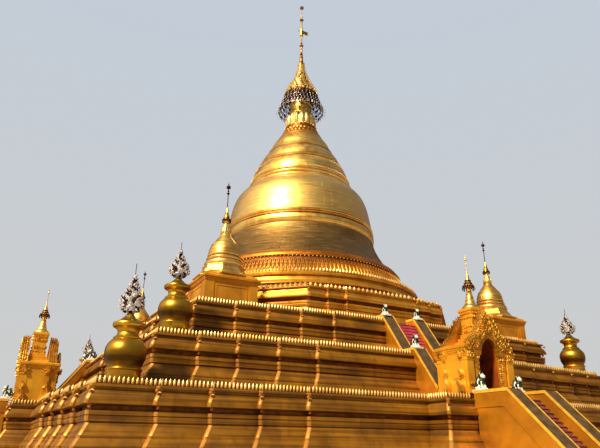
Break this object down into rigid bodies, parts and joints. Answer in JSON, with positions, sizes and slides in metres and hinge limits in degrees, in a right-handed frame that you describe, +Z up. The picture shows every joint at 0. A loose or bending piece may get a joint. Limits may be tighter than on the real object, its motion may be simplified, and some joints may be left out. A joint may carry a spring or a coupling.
{
  "type": "1:2 scale model of a gilded brick stupa",
  "caption": "Scale model of a gilded brick stupa: stepped square terraces, stairs through arched gateways, corner shrines, a bell, a ringed cone and a metal umbrella crown with a vane.",
  "frame": {"origin": "middle of the base, on the ground", "axes": "+Z up, -Y towards the front stair, +X to the right of someone who faces it"},
  "size_m": [33.2, 33.2, 28.5],
  "materials": {
    "gilded_plaster": "gilded and gold-painted lime plaster over brick",
    "gold_leaf": "gold leaf on smooth plaster and plates",
    "burnished_gold": "burnished gold leaf on moulded petals",
    "gilded_metal": "gilded sheet metal and rod",
    "silver_sheet": "cut and bent silver-coloured sheet metal",
    "stair_plaster": "orange gold-painted smooth plaster",
    "red_carpet": "worn red runner on the steps",
    "grey_coping": "grey cement coping with yellow painted edges",
    "white_figures": "white-painted plaster with dark green and black details"
  },
  "bodies": {
    "stupa": {"terrace_1": "gilded_plaster", "terrace_2": "gilded_plaster", "terrace_3": "gilded_plaster", "octagon_terrace": "gilded_plaster", "round_terrace": "gilded_plaster", "lotus_ring": "gilded_plaster", "bell": "gold_leaf", "ringed_cone": "gold_leaf", "lotus_collar": "burnished_gold", "bud": "burnished_gold", "umbrella_crown": "gilded_metal", "mast": "gilded_metal", "corner_stupa_south_west": "gilded_plaster", "corner_stupa_south_east": "gilded_plaster", "corner_stupa_north_east": "gilded_plaster", "corner_stupa_north_west": "gilded_plaster", "vase_low_south_west": "gold_leaf", "flower_low_south_west": "silver_sheet", "vase_low_south_east": "gold_leaf", "flower_low_south_east": "silver_sheet", "vase_low_north_east": "gold_leaf", "flower_low_north_east": "silver_sheet", "vase_low_north_west": "gold_leaf", "flower_low_north_west": "silver_sheet", "vase_high_south_west": "gold_leaf", "flower_high_south_west": "silver_sheet", "vase_high_south_east": "gold_leaf", "flower_high_south_east": "silver_sheet", "vase_high_north_east": "gold_leaf", "flower_high_north_east": "silver_sheet", "vase_high_north_west": "gold_leaf", "flower_high_north_west": "silver_sheet", "lower_stair_south": "stair_plaster", "upper_stair_south": "stair_plaster", "gateway_south": "gilded_plaster", "gateway_spire_south": "gilded_metal", "lower_stair_east": "stair_plaster", "upper_stair_east": "stair_plaster", "gateway_east": "gilded_plaster", "gateway_spire_east": "gilded_metal", "lower_stair_north": "stair_plaster", "upper_stair_north": "stair_plaster", "gateway_north": "gilded_plaster", "gateway_spire_north": "gilded_metal", "lower_stair_west": "stair_plaster", "upper_stair_west": "stair_plaster", "gateway_west": "gilded_plaster", "gateway_spire_west": "gilded_metal"},
    "vane": {"vane": "gilded_metal"}
  },
  "joints": [
    {"name": "vane_turn", "type": "hinge", "parent": "stupa", "child": "vane", "pos_m": [0, 0, 26.19], "axis": [0, 0, 1], "continuous": true}
  ]
}
